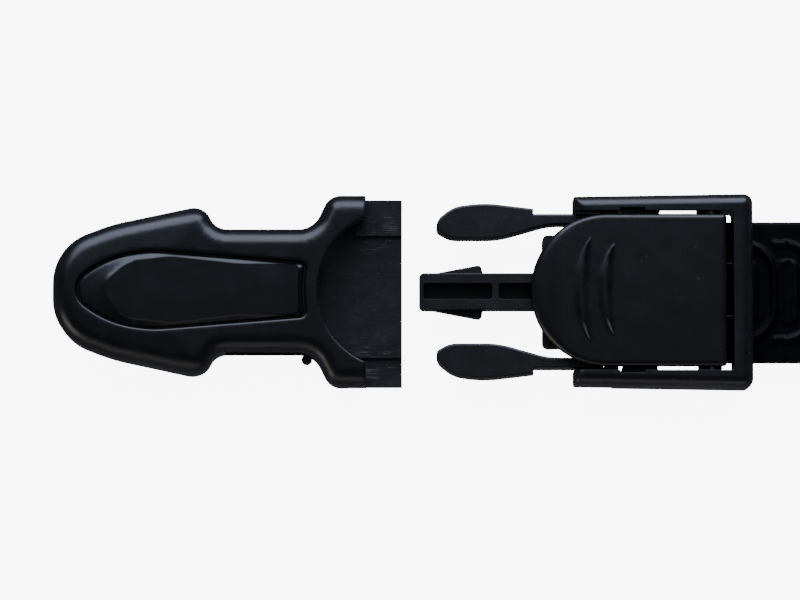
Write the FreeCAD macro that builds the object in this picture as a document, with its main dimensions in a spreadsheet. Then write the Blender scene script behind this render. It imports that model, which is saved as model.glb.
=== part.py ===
import FreeCAD
import Part
import Sketcher
import math
import os
import re

# Side-release strap buckle with a ratchet lever, in millimetres.
# The receiver snaps over a stud, the plug slides into it along -X, and a rubber strap is
# doubled round a bar in the plug's frame. +X runs towards the strap, +Z is up, and the
# origin is the centre of the stud socket's mouth, on the plane that the buckle rests on.

SIZES = [
    # receiver: outline of both shells, each half-width measured from the centre line
    ("nose_x", -13.6), ("nose_half", 7.95), ("nose_radius", 9.45),
    ("flank_x", -3.0), ("flank_half", 11.95), ("flank_radius", 30.0),
    ("cheek_x", 12.9), ("cheek_half", 15.4), ("cheek_radius", 3.6),
    ("waist_front_x", 15.55), ("waist_half", 11.05), ("waist_front_radius", 3.3),
    ("waist_rear_x", 33.0), ("waist_rear_radius", 4.3),
    ("shoulder_x", 35.8), ("shoulder_half", 17.1), ("shoulder_radius", 3.3),
    ("cover_end_x", 42.3), ("tongue_end_x", 48.8), ("tongue_half", 16.9),
    # receiver: heights and walls
    ("base_thick", 1.6), ("base_edge", 0.4), ("ceiling_z", 7.6), ("cover_top_z", 10.4),
    ("cover_edge", 2.0), ("shell_wall", 2.1), ("front_chamber_end_x", 11.4),
    ("channel_front_x", 12.9), ("channel_half", 6.7), ("window_front_x", 17.2),
    ("latch_x", 35.6), ("latch_half", 14.2), ("drain_x", 39.0), ("drain_height", 0.7),
    ("mouth_arc_x", 47.75), ("mouth_arc_radius", 14.0),
    ("guide_front_x", 13.2), ("guide_face_x", 14.4), ("guide_end_x", 33.5),
    ("guide_inner_half", 5.25), ("guide_outer_half", 6.1), ("guide_top_z", 7.3),
    ("track_x", 40.3), ("track_inner_half", 10.4), ("track_outer_half", 11.6),
    ("track_height", 0.7), ("nib_x", 31.7), ("nib_half", 11.9), ("nib_radius", 0.95),
    # stud socket and its clip
    ("socket_radius", 4.0), ("socket_depth", 3.2), ("chamber_radius", 5.0),
    ("boss_radius", 6.2), ("boss_top_z", 7.4), ("clip_wire_radius", 0.45),
    ("clip_leg_half", 3.55), ("clip_leg_start_x", -2.8), ("clip_bow_x", 4.0),
    ("clip_slot_half", 4.3),
    # screws that hold the shells together
    ("screw_front_x", -9.4), ("screw_cheek_x", 9.2), ("screw_cheek_half", 9.6),
    ("screw_rear_x", 37.3), ("screw_rear_half", 15.3), ("screw_radius", 0.7),
    ("screw_length", 6.2), ("screw_head_radius", 1.1), ("screw_head_z", 0.15),
    ("screw_head_height", 0.75), ("screw_drive_radius", 0.5), ("screw_boss_radius", 1.5),
    # inlay in the cover
    ("inlay_tip_x", -9.2), ("inlay_tip_half", 1.9), ("inlay_tip_radius", 3.6),
    ("inlay_brow_x", -3.35), ("inlay_brow_half", 6.2), ("inlay_brow_radius", 18.0),
    ("inlay_wide_x", 4.5), ("inlay_wide_half", 7.15), ("inlay_wide_radius", 20.0),
    ("inlay_end_x", 31.9), ("inlay_end_half", 4.85), ("inlay_end_radius", 1.2),
    ("inlay_floor_z", 9.3), ("inlay_top_z", 10.5), ("inlay_bevel", 0.8), ("inlay_gap", 0.1),
    # plug: chassis with the centre prong
    ("prong_tip_x", 51.85), ("prong_half", 3.25), ("prong_radius", 0.9),
    ("prong_low_z", 2.0), ("prong_top_z", 7.0), ("prong_root_x", 76.0),
    ("barb_tip_x", 52.7), ("barb_half", 4.9), ("barb_end_x", 62.9), ("barb_top_z", 5.2),
    ("barb_radius", 0.7), ("recess_half", 1.45), ("recess_depth", 3.4),
    ("recess_front_x", 52.65), ("web_front_x", 64.9), ("web_rear_x", 66.1),
    ("recess_rear_x", 74.0), ("recess_radius", 0.5),
    ("block_front_x", 73.9), ("block_half", 10.1), ("block_radius", 1.0),
    ("block_rear_x", 87.5), ("block_low_z", 1.9), ("block_top_z", 6.2),
    ("lug_front_x", 84.3), ("lug_half", 14.25), ("lug_low_z", 2.4), ("lug_top_z", 7.4),
    # plug: sprung arms
    ("arm_low_z", 2.3), ("arm_top_z", 7.1), ("arm_edge", 0.45),
    ("arm_tip_x", 54.95), ("arm_tip_inner", 10.7), ("arm_tip_outer", 12.7),
    ("arm_tip_inner_radius", 1.2), ("arm_tip_outer_radius", 2.4),
    ("arm_toe_x", 57.3), ("arm_toe_radius", 5.0), ("arm_belly_half", 9.35),
    ("arm_belly_x", 66.0), ("arm_belly_radius", 17.0), ("arm_neck_x", 75.0),
    ("arm_neck_radius", 12.0), ("arm_inner_half", 11.9), ("arm_outer_half", 13.9),
    ("arm_hook_x", 72.3), ("arm_hook_half", 14.85), ("arm_back_x", 63.5),
    ("arm_back_half", 15.9), ("arm_back_radius", 22.0), ("arm_crown_x", 57.9),
    ("arm_crown_half", 15.2), ("arm_crown_radius", 6.4),
    ("hinge_x", 84.0), ("hinge_half", 12.9), ("hinge_play", 0.08),
    # plug: frame
    ("frame_front_x", 79.4), ("frame_front_half", 16.9), ("frame_rear_x", 111.5),
    ("frame_rear_half", 17.4), ("frame_inner_half", 14.3), ("bar_front_x", 108.0),
    ("frame_top_z", 9.6), ("frame_edge", 2.1), ("frame_front_radius", 0.5),
    ("frame_rear_radius", 1.6), ("relief_x", 86.4), ("relief_z", 1.9),
    ("rail_hollow_front_x", 95.0), ("rail_hollow_rear_x", 101.8), ("rail_hollow_half", 15.25),
    ("rail_lip_z", 8.0),
    ("window_half", 13.2), ("window_low_z", 1.0), ("window_top_z", 6.9),
    ("saddle_front_x", 102.0), ("saddle_rear_x", 106.3),
    ("bar_boss_front_x", 88.2), ("bar_boss_rear_x", 94.5), ("bar_boss_half", 13.4),
    ("detent_front_x", 87.7), ("detent_rear_x", 92.2), ("detent_depth", 0.5),
    ("detent_low_z", 6.9), ("pin_half", 16.6),
    ("chassis_pin_x", 86.2), ("chassis_pin_z", 4.6), ("chassis_pin_radius", 0.8),
    ("bar_x", 91.3), ("bar_z", 4.5), ("bar_radius", 1.3),
    # release lever
    ("lever_pin_x", 104.1), ("lever_pin_z", 7.6), ("lever_pin_radius", 0.9),
    ("lever_pin_play", 0.05), ("lever_nose_x", 71.8), ("lever_half", 13.65),
    ("lever_rear_x", 106.75), ("lever_low_z", 8.45), ("lever_top_z", 10.2),
    ("lever_lip_z", 7.5), ("lever_lip_top_z", 8.9), ("lever_lip_x", 75.0),
    ("lever_slope_x", 78.4), ("lever_heel_x", 105.9), ("lever_heel_z", 8.9),
    ("barrel_radius", 1.5), ("barrel_inner_half", 7.2), ("barrel_outer_half", 12.9),
    ("spring_roof_z", 9.35), ("spring_bay_front_x", 99.6),
    ("pawl_front_x", 98.3), ("pawl_rear_x", 99.3), ("pawl_half", 4.4), ("pawl_low_z", 6.6),
    ("snap_front_x", 88.7), ("snap_rear_x", 91.2), ("snap_out", 0.8),
    ("snap_low_z", 8.6), ("snap_top_z", 9.5),
    ("grip_front_x", 79.5), ("grip_pitch", 4.25), ("grip_sweep", 3.3), ("grip_width", 1.9),
    ("grip_height", 0.3), ("grip_sink", 0.2), ("grip_half", 10.1), ("grip_step", 1.15),
    # lever springs
    ("coil_radius", 1.35), ("coil_wire_radius", 0.22), ("coil_pitch", 0.52),
    ("coil_turns", 4.0), ("coil_start", 4.7), ("coil_front_leg", 4.1),
    ("coil_rear_leg", 3.7),
    # strap
    ("strap_half", 12.6), ("strap_thick", 1.9), ("strap_low_z", 1.3), ("strap_slope", 0.194),
    ("wrap_x", 88.05), ("wrap_radius", 3.1), ("wrap_inner_radius", 1.3),
    ("strap_inner_z", 6.2), ("tail_low_z", 3.3), ("strap_bend_radius", 12.0),
    ("tail_end_x", 126.7), ("heel_end_x", 130.7), ("rib_height", 0.45),
    ("rib_width", 1.1), ("rib_pitch", 7.4), ("rib_apex_x", 116.1), ("rib_length", 7.7),
    ("rib_half", 9.2), ("rib_radius", 6.4), ("island_length", 4.2),
    ("island_half", 5.8), ("island_radius", 1.8), ("tail_corner", 2.5),
]  # fmt: skip
ALIASES = {alias for alias, _ in SIZES}
SIDES = {"left": "-", "right": ""}  # seen looking from the strap towards the receiver

doc = FreeCAD.newDocument("buckle")
sheet = doc.addObject("Spreadsheet::Sheet", "Sizes")
for row, (alias, value) in enumerate(SIZES, start=1):
    sheet.set(f"A{row}", alias)
    sheet.set(f"B{row}", str(value))
    sheet.setAlias(f"B{row}", alias)
doc.recompute()
nodes = []


# ---- small helpers: sizes, sketches and features -------------------------------------------


def bound(text):
    """The text with each size's alias turned into a reference to its cell."""
    return re.sub(
        r"[a-z_]+",
        lambda found: f"Sizes.{found.group()}" if found.group() in ALIASES else found.group(),
        text,
    )


def number(text):
    """What a text of sizes comes to, in millimetres."""
    value = sheet.evalExpression(bound(text))
    return float(getattr(value, "Value", value))


def set_size(thing, property_name, text):
    """Binds a property of a document object to a text of sizes."""
    thing.setExpression(property_name, bound(text))


def constrain(sketch, kind, *arguments, text):
    """Adds a dimension to a sketch and binds it to a text of sizes."""
    index = sketch.addConstraint(Sketcher.Constraint(kind, *arguments, number(text)))
    name = f"size{index}"
    sketch.renameConstraint(index, name)
    set_size(sketch, f"Constraints.{name}", text)


def place(sketch, geometry, vertex, x, y):
    """Fixes a sketch point at (x, y), both texts of sizes."""
    for kind, text, axis in (("DistanceX", x, -2), ("DistanceY", y, -1)):
        if abs(number(text)) < 1e-9:
            sketch.addConstraint(Sketcher.Constraint("PointOnObject", geometry, vertex, axis))
        else:
            constrain(sketch, kind, -1, 1, geometry, vertex, text=text)


def new_body(name):
    body = doc.addObject("PartDesign::Body", name)
    body.Label = name
    nodes.append(body)
    return body


def new_sketch(body, name, plane="XY_Plane", height="0"):
    """A sketch on one of the body's own origin planes, moved along the plane's normal."""
    sketch = body.newObject("Sketcher::SketchObject", name)
    features = body.Origin.OriginFeatures
    sketch.AttachmentSupport = [([f for f in features if f.Role == plane][0], "")]
    sketch.MapMode = "FlatFace"
    set_size(sketch, "AttachmentOffset.Base.z", height)
    return sketch


def add_circle(sketch, x, y, radius):
    """A circle whose centre and radius are texts of sizes."""
    centre = FreeCAD.Vector(number(x), number(y), 0)
    circle = sketch.addGeometry(
        Part.Circle(centre, FreeCAD.Vector(0, 0, 1), number(radius)), False
    )
    place(sketch, circle, 3, x, y)
    constrain(sketch, "Radius", circle, text=radius)


def corner_arc(before, corner, after, radius):
    """Where a round corner leaves its two sides, and the centre of its arc and its turn."""
    inward = (corner - before).normalize()
    outward = (after - corner).normalize()
    turn = math.atan2(inward.x * outward.y - inward.y * outward.x, inward.dot(outward))
    reach = radius * math.tan(abs(turn) / 2)
    start, end = corner - inward * reach, corner + outward * reach
    left = FreeCAD.Vector(-inward.y, inward.x, 0)
    centre = start + left * math.copysign(radius, turn)
    return start, end, centre, turn


def arc_between(centre, start, end, radius, turn):
    """The arc from start to end, which a sketch always stores anticlockwise."""
    first, last = (start, end) if turn > 0 else (end, start)
    angles = [math.atan2(p.y - centre.y, p.x - centre.x) for p in (first, last)]
    circle = Part.Circle(centre, FreeCAD.Vector(0, 0, 1), radius)
    return Part.ArcOfCircle(circle, angles[0], angles[1])


def add_outline(sketch, corners):
    """Closes straight sides through corners of (x, y, radius); no radius is a sharp corner."""
    points = [FreeCAD.Vector(number(x), number(y), 0) for x, y, _ in corners]
    rounds, starts, ends = {}, list(points), list(points)
    for i, (_, _, radius) in enumerate(corners):
        if radius is not None:
            after = points[(i + 1) % len(points)]
            rounds[i] = corner_arc(points[i - 1], points[i], after, number(radius))
            ends[i], starts[i] = rounds[i][0], rounds[i][1]
    sides = [
        sketch.addGeometry(Part.LineSegment(starts[i], ends[(i + 1) % len(points)]), False)
        for i in range(len(points))
    ]
    for i, (x, y, radius) in enumerate(corners):
        before, after = sides[i - 1], sides[i]
        if radius is None:
            sketch.addConstraint(Sketcher.Constraint("Coincident", before, 2, after, 1))
            place(sketch, after, 1, x, y)
            continue
        start, end, centre, turn = rounds[i]
        arc = sketch.addGeometry(arc_between(centre, start, end, number(radius), turn), False)
        near, far = (1, 2) if turn > 0 else (2, 1)
        sketch.addConstraint(Sketcher.Constraint("Tangent", before, 2, arc, near))
        sketch.addConstraint(Sketcher.Constraint("Tangent", arc, far, after, 1))
        constrain(sketch, "Radius", arc, text=radius)
        corner = sketch.addGeometry(Part.Point(points[i]), True)
        sketch.addConstraint(Sketcher.Constraint("PointOnObject", corner, 1, before))
        sketch.addConstraint(Sketcher.Constraint("PointOnObject", corner, 1, after))
        place(sketch, corner, 1, x, y)


def add_crescent(sketch, front, half, sweep, width):
    """A crescent open towards +X: its tips lie at y = +-half, sweep behind its front."""
    rise = number(half)
    tip_x = number(f"{front} + {sweep}")
    arcs = []
    for apex, sag in ((front, sweep), (f"{front} + {width}", f"{sweep} - {width}")):
        radius = f"(({half}) ^ 2 + ({sag}) ^ 2) / (2 * ({sag}))"
        points = [(tip_x, rise), (number(apex), 0), (tip_x, -rise)]
        arc = Part.Arc(*[FreeCAD.Vector(x, y, 0) for x, y in points])
        index = sketch.addGeometry(arc, False)
        sketch.addConstraint(Sketcher.Constraint("PointOnObject", index, 3, -1))
        constrain(sketch, "DistanceX", -1, 1, index, 3, text=f"{apex} + {radius}")
        arcs.append(index)
    outer, inner = arcs
    sketch.addConstraint(Sketcher.Constraint("Coincident", outer, 1, inner, 1))
    sketch.addConstraint(Sketcher.Constraint("Coincident", outer, 2, inner, 2))
    place(sketch, outer, 1, f"{front} + {sweep}", half)


def both_sides(half):
    """A symmetric outline, from the corners of its +Y half listed from rear to front."""
    mirrored = [(x, f"-({y})", radius) for x, y, radius in reversed(half)]
    return list(half) + mirrored


def box_corners(x_low, x_high, y_low, y_high, radius=None):
    """The four corners of a rectangle, anticlockwise."""
    return [
        (x_low, y_low, radius), (x_high, y_low, radius),
        (x_high, y_high, radius), (x_low, y_high, radius),
    ]  # fmt: skip


def feature(body, kind, name, sketch, length, symmetric=False):
    """A pad or pocket of the sketch; a pad rises along the sketch's normal, a pocket sinks."""
    made = body.newObject(f"PartDesign::{kind}", name)
    made.Profile = sketch
    set_size(made, "Length", length)
    made.SideType = "Symmetric" if symmetric else "One side"
    doc.recompute()
    return made


def pad(body, name, sketch, length, symmetric=False):
    return feature(body, "Pad", name, sketch, length, symmetric)


def pocket(body, name, sketch, length, symmetric=False):
    """A pocket that has to remove material, so one that points the wrong way is caught."""
    before = body.Shape.Volume
    made = feature(body, "Pocket", name, sketch, length, symmetric)
    if not body.Shape.Volume < before - 1e-6:
        raise ValueError(f"{body.Label}: {name} removed nothing")
    return made


def dress(body, kind, name, size, chosen):
    """A fillet or chamfer of the edges that chosen() picks from the body's shape."""
    base = body.Tip
    edges = [
        f"Edge{i}" for i, edge in enumerate(base.Shape.Edges, start=1) if chosen(edge.BoundBox)
    ]
    made = body.newObject(f"PartDesign::{kind}", name)
    made.Base = (base, edges)
    set_size(made, "Radius" if kind == "Fillet" else "Size", size)
    doc.recompute()
    return made


def lies_at(box, z):
    """True for the bounding box of an edge that lies flat at height z."""
    return abs(box.ZMin - z) < 1e-4 and abs(box.ZMax - z) < 1e-4


def primitive(kind, name, **sizes):
    """A Part primitive whose properties are bound to texts of sizes."""
    made = doc.addObject(f"Part::{kind}", name)
    for property_name, text in sizes.items():
        set_size(made, property_name.replace("__", "."), text)
    return made


def cylinder(name, radius, length, x, y, z, along_y=False):
    """A cylinder that starts at (x, y, z) and rises along +Z, or runs along +Y."""
    made = primitive(
        "Cylinder", name, Radius=radius, Height=length,
        Placement__Base__x=x, Placement__Base__y=y, Placement__Base__z=z,
    )  # fmt: skip
    if along_y:
        made.Placement.Rotation = FreeCAD.Rotation(FreeCAD.Vector(1, 0, 0), -90)
    return made


# ---- receiver -------------------------------------------------------------------------------


def shell_half(rear_x, rear_half, grow="0"):
    """The +Y half of the receiver's outline, from rear to front, grown outwards by grow."""
    return [
        (rear_x, f"{rear_half} + {grow}", None),
        ("shoulder_x", f"{rear_half} + {grow}", "shoulder_radius"),
        ("waist_rear_x", f"waist_half + {grow}", "waist_rear_radius"),
        ("waist_front_x", f"waist_half + {grow}", "waist_front_radius"),
        ("cheek_x", f"cheek_half + {grow}", "cheek_radius"),
        ("flank_x", f"flank_half + {grow}", "flank_radius"),
        (f"nose_x - {grow}", f"nose_half + {grow}", "nose_radius"),
    ]


SCREWS = [
    ("screw_front_x", "0"),
    ("screw_cheek_x", "screw_cheek_half"),
    ("screw_cheek_x", "-screw_cheek_half"),
    ("screw_rear_x", "screw_rear_half"),
    ("screw_rear_x", "-screw_rear_half"),
]


def make_receiver_base():
    """Floor of the receiver, with the tongue, stud boss, prong guides and screw holes."""
    body = new_body("receiver_base")
    floor = new_sketch(body, "base_outline")
    add_outline(floor, both_sides(shell_half("tongue_end_x", "tongue_half")))
    pad(body, "base_floor", floor, "base_thick")
    dress(body, "Fillet", "base_bottom_edge", "base_edge", lambda box: lies_at(box, 0))

    guides = new_sketch(body, "guide_outline", height="base_thick")
    add_outline(
        guides,
        [
            ("guide_front_x", "guide_outer_half", None),
            ("guide_front_x", "-guide_outer_half", None),
            ("guide_end_x", "-guide_outer_half", None),
            ("guide_end_x", "-guide_inner_half", None),
            ("guide_face_x", "-guide_inner_half", None),
            ("guide_face_x", "guide_inner_half", None),
            ("guide_end_x", "guide_inner_half", None),
            ("guide_end_x", "guide_outer_half", None),
        ],
    )
    pad(body, "guide_walls", guides, "guide_top_z - base_thick")

    tracks = new_sketch(body, "track_outline", height="base_thick")
    for low, high in (
        ("track_inner_half", "track_outer_half"),
        ("-track_outer_half", "-track_inner_half"),
    ):
        add_outline(tracks, box_corners("track_x", "tongue_end_x", low, high))
    pad(body, "tracks", tracks, "track_height")

    boss = new_sketch(body, "boss_outline", height="base_thick")
    add_circle(boss, "0", "0", "boss_radius")
    pad(body, "stud_boss", boss, "boss_top_z - base_thick")
    chamber = new_sketch(body, "chamber_outline", height="boss_top_z")
    add_circle(chamber, "0", "0", "chamber_radius")
    pocket(body, "stud_chamber", chamber, "boss_top_z - socket_depth")
    mouth = new_sketch(body, "socket_outline", height="socket_depth")
    add_circle(mouth, "0", "0", "socket_radius")
    pocket(body, "stud_socket", mouth, "socket_depth")
    slot = new_sketch(body, "clip_slot_outline", height="boss_top_z")
    add_outline(
        slot,
        box_corners("clip_bow_x - 1", "boss_radius + 0.3", "-clip_slot_half", "clip_slot_half"),
    )
    pocket(body, "clip_slot", slot, "boss_top_z - socket_depth")

    holes = new_sketch(body, "screw_hole_outline", height="base_thick")
    heads = new_sketch(body, "screw_head_outline", height="screw_head_z + screw_head_height")
    for x, y in SCREWS:
        add_circle(holes, x, y, "screw_radius + 0.05")
        add_circle(heads, x, y, "screw_head_radius + 0.05")
    pocket(body, "screw_holes", holes, "base_thick")
    pocket(body, "screw_counterbores", heads, "screw_head_z + screw_head_height")

    # moulding gate left on one edge, beside the latch
    nib = new_sketch(body, "gate_outline", height="base_thick / 2")
    add_circle(nib, "nib_x", "-nib_half", "nib_radius")
    pad(body, "gate_nib", nib, "base_thick / 2")


def make_receiver_cover():
    """Upper shell: roof, nose and shoulders, open at the waist and at the rear."""
    body = new_body("receiver_cover")
    outline = new_sketch(body, "cover_outline", height="base_thick")
    add_outline(outline, both_sides(shell_half("cover_end_x", "shoulder_half")))
    pad(body, "cover_block", outline, "cover_top_z - base_thick")
    rear = number("cover_end_x")
    dress(
        body, "Fillet", "cover_top_edge", "cover_edge",
        lambda box: lies_at(box, number("cover_top_z")) and box.XMin < rear - 1e-3,
    )  # fmt: skip

    front = new_sketch(body, "front_chamber_outline", height="ceiling_z")
    add_outline(
        front,
        both_sides(
            [
                ("front_chamber_end_x", "cheek_half - shell_wall - 0.6", "0.8"),
                ("flank_x", "flank_half - shell_wall", "flank_radius - shell_wall"),
                ("nose_x + shell_wall", "nose_half - 1.2", "nose_radius - shell_wall"),
            ]
        ),
    )
    for x, y in SCREWS[:3]:
        add_circle(front, x, y, "screw_boss_radius")
    pocket(body, "front_chamber", front, "ceiling_z - base_thick")

    channel = new_sketch(body, "channel_outline", height="ceiling_z")
    add_outline(
        channel,
        both_sides(
            [
                ("cover_end_x + 1", "latch_half", None),
                ("latch_x", "latch_half", None),
                ("latch_x", "shoulder_half + 1", None),
                ("window_front_x", "shoulder_half + 1", None),
                ("window_front_x", "channel_half", None),
                ("channel_front_x", "channel_half", None),
            ]
        ),
    )
    pocket(body, "plug_channel", channel, "ceiling_z - base_thick")

    drains = new_sketch(body, "drain_outline", height="base_thick + drain_height")
    add_outline(
        drains,
        box_corners("drain_x", "cover_end_x + 1", "-shoulder_half - 1", "shoulder_half + 1"),
    )
    pocket(body, "drain_slots", drains, "drain_height")

    arc = new_sketch(body, "mouth_arc_outline", height="cover_top_z")
    add_circle(arc, "mouth_arc_x", "0", "mouth_arc_radius")
    pocket(body, "mouth_arc", arc, "cover_top_z - ceiling_z")

    pilots = new_sketch(body, "pilot_outline", height="screw_length + screw_head_z")
    for x, y in SCREWS:
        add_circle(pilots, x, y, "screw_radius")
    pocket(body, "pilot_holes", pilots, "screw_length + screw_head_z - base_thick")

    seat = new_sketch(body, "inlay_seat_outline", height="cover_top_z")
    add_outline(seat, inlay_corners("inlay_gap"))
    pocket(body, "inlay_seat", seat, "cover_top_z - inlay_floor_z")


def inlay_corners(grow):
    """The spoon-shaped outline of the inlay, grown outwards by grow."""
    return both_sides(
        [
            (f"inlay_end_x + {grow}", f"inlay_end_half + {grow}", "inlay_end_radius"),
            ("inlay_wide_x", f"inlay_wide_half + {grow}", "inlay_wide_radius"),
            (f"inlay_brow_x - {grow} / 2", f"inlay_brow_half + {grow}", "inlay_brow_radius"),
            (f"inlay_tip_x - {grow}", f"inlay_tip_half + {grow}", "inlay_tip_radius"),
        ]
    )


def make_cover_inlay():
    """Bevelled panel pressed into the cover."""
    body = new_body("cover_inlay")
    outline = new_sketch(body, "inlay_outline", height="inlay_floor_z")
    add_outline(outline, inlay_corners("0"))
    pad(body, "inlay_panel", outline, "inlay_top_z - inlay_floor_z")
    top = number("inlay_top_z")
    dress(body, "Chamfer", "inlay_bevels", "inlay_bevel", lambda box: lies_at(box, top))


def make_stud_clip():
    """U-shaped wire that snaps behind the stud's head."""
    z = "socket_depth + clip_wire_radius"
    legs = [
        cylinder(
            f"clip_leg_{side}", "clip_wire_radius", "clip_bow_x - clip_leg_start_x",
            "clip_leg_start_x", f"{sign}clip_leg_half", z,
        )
        for side, sign in SIDES.items()
    ]  # fmt: skip
    for leg in legs:
        leg.Placement.Rotation = FreeCAD.Rotation(FreeCAD.Vector(0, 1, 0), 90)
    bow = primitive(
        "Torus", "clip_bow", Radius1="clip_leg_half", Radius2="clip_wire_radius",
        Placement__Base__x="clip_bow_x", Placement__Base__z=z,
    )  # fmt: skip
    bow.Angle3 = 180
    bow.Placement.Rotation = FreeCAD.Rotation(FreeCAD.Vector(0, 0, 1), -90)
    clip = doc.addObject("Part::MultiFuse", "stud_clip")
    clip.Shapes = [*legs, bow]
    clip.Label = "stud_clip"
    nodes.append(clip)


def make_base_screws():
    """Self-tapping screws with socket heads, driven up through the base into the cover."""
    screws = []
    for i, (x, y) in enumerate(SCREWS, start=1):
        shank = cylinder(f"shank_{i}", "screw_radius", "screw_length", x, y, "screw_head_z")
        head = cylinder(
            f"head_{i}", "screw_head_radius", "screw_head_height", x, y, "screw_head_z"
        )
        solid = doc.addObject("Part::MultiFuse", f"solid_screw_{i}")
        solid.Shapes = [shank, head]
        drive = primitive(
            "Prism", f"drive_{i}", Circumradius="screw_drive_radius",
            Height="screw_head_height / 2 + 0.01", Placement__Base__x=x,
            Placement__Base__y=y, Placement__Base__z="screw_head_z - 0.01",
        )  # fmt: skip
        drive.Polygon = 6
        screw = doc.addObject("Part::Cut", f"screw_{i}")
        screw.Base, screw.Tool = solid, drive
        screws.append(screw)
    group = doc.addObject("Part::Compound", "base_screws")
    group.Links = screws
    group.Label = "base_screws"
    nodes.append(group)


# ---- plug -----------------------------------------------------------------------------------


def make_chassis():
    """Block with the centre prong, and a lug each side that carries an arm's root."""
    body = new_body("chassis")
    block = new_sketch(body, "block_outline", height="block_low_z")
    add_outline(
        block,
        [
            ("block_front_x", "-block_half", "block_radius"),
            ("block_rear_x", "-block_half", None),
            ("block_rear_x", "block_half", None),
            ("block_front_x", "block_half", "block_radius"),
        ],
    )
    pad(body, "chassis_block", block, "block_top_z - block_low_z")

    lugs = new_sketch(body, "lug_outline", height="lug_low_z")
    add_outline(lugs, box_corners("lug_front_x", "block_rear_x", "-lug_half", "lug_half"))
    pad(body, "lugs", lugs, "lug_top_z - lug_low_z")
    sockets = new_sketch(body, "arm_socket_outline", height="lug_top_z")
    knuckle = "(arm_outer_half - arm_inner_half) / 2 + hinge_play"
    for sign in SIDES.values():
        add_circle(sockets, "hinge_x", f"{sign}hinge_half", knuckle)
    pocket(body, "arm_sockets", sockets, "lug_top_z - lug_low_z")

    prong = new_sketch(body, "prong_outline", height="prong_low_z")
    add_outline(
        prong,
        [
            ("prong_tip_x", "-prong_half", "prong_radius"),
            ("prong_root_x", "-prong_half", None),
            ("prong_root_x", "prong_half", None),
            ("prong_tip_x", "prong_half", "prong_radius"),
        ],
    )
    pad(body, "prong", prong, "prong_top_z - prong_low_z")
    barb = new_sketch(body, "barb_outline", height="prong_low_z")
    add_outline(
        barb,
        both_sides(
            [
                ("barb_end_x + 0.5", "prong_half - 0.3", None),
                ("barb_end_x", "barb_half", "barb_radius"),
                ("barb_tip_x", "prong_half - 0.3", None),
            ]
        ),
    )
    pad(body, "barbs", barb, "barb_top_z - prong_low_z")
    recesses = new_sketch(body, "recess_outline", height="prong_top_z")
    for low, high in (("recess_front_x", "web_front_x"), ("web_rear_x", "recess_rear_x")):
        add_outline(
            recesses, box_corners(low, high, "-recess_half", "recess_half", "recess_radius")
        )
    pocket(body, "prong_recesses", recesses, "recess_depth")

    hole = new_sketch(body, "chassis_pin_outline", "XZ_Plane")
    add_circle(hole, "chassis_pin_x", "chassis_pin_z", "chassis_pin_radius")
    pocket(body, "chassis_pin_hole", hole, "3 * pin_half", symmetric=True)
    top = number("prong_top_z")
    tip = number("web_front_x")
    dress(
        body, "Fillet", "prong_edges", "arm_edge / 2",
        lambda box: lies_at(box, top) and max(abs(box.YMin), abs(box.YMax)) > 3
        and box.XMin < tip,
    )  # fmt: skip


def arm_corners(sign):
    """Outline of a sprung arm: spoon-shaped pad, hook and neck, up to its round root."""
    return [
        (x, f"{sign}{y}", radius)
        for x, y, radius in (
            ("arm_tip_x", "arm_tip_inner", "arm_tip_inner_radius"),
            ("arm_toe_x", "arm_belly_half", "arm_toe_radius"),
            ("arm_belly_x", "arm_belly_half", "arm_belly_radius"),
            ("arm_neck_x", "arm_inner_half", "arm_neck_radius"),
            ("hinge_x", "arm_inner_half", None),
            ("hinge_x", "arm_outer_half", None),
            ("arm_hook_x", "arm_outer_half", None),
            ("arm_hook_x", "arm_hook_half", None),
            ("arm_back_x", "arm_back_half", "arm_back_radius"),
            ("arm_crown_x", "arm_crown_half", "arm_crown_radius"),
            ("arm_tip_x", "arm_tip_outer", "arm_tip_outer_radius"),
        )
    ]


def make_latch_arm(side):
    """Sprung arm with a finger pad and a hook behind it."""
    sign = SIDES[side]
    body = new_body(f"latch_arm_{side}")
    outline = new_sketch(body, f"arm_outline_{side}", height="arm_low_z")
    add_outline(outline, arm_corners(sign))
    pad(body, f"arm_blade_{side}", outline, "arm_top_z - arm_low_z")
    root = new_sketch(body, f"arm_root_outline_{side}", height="arm_low_z")
    add_circle(root, "hinge_x", f"{sign}hinge_half", "(arm_outer_half - arm_inner_half) / 2")
    pad(body, f"arm_root_{side}", root, "arm_top_z - arm_low_z")
    ends = (number("arm_low_z"), number("arm_top_z"))
    hook = number("arm_hook_x")
    dress(
        body, "Fillet", f"arm_edges_{side}", "arm_edge",
        lambda box: any(lies_at(box, z) for z in ends) and box.XMax < hook + 5.0
        and box.XMin < hook - 0.5,
    )  # fmt: skip


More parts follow.
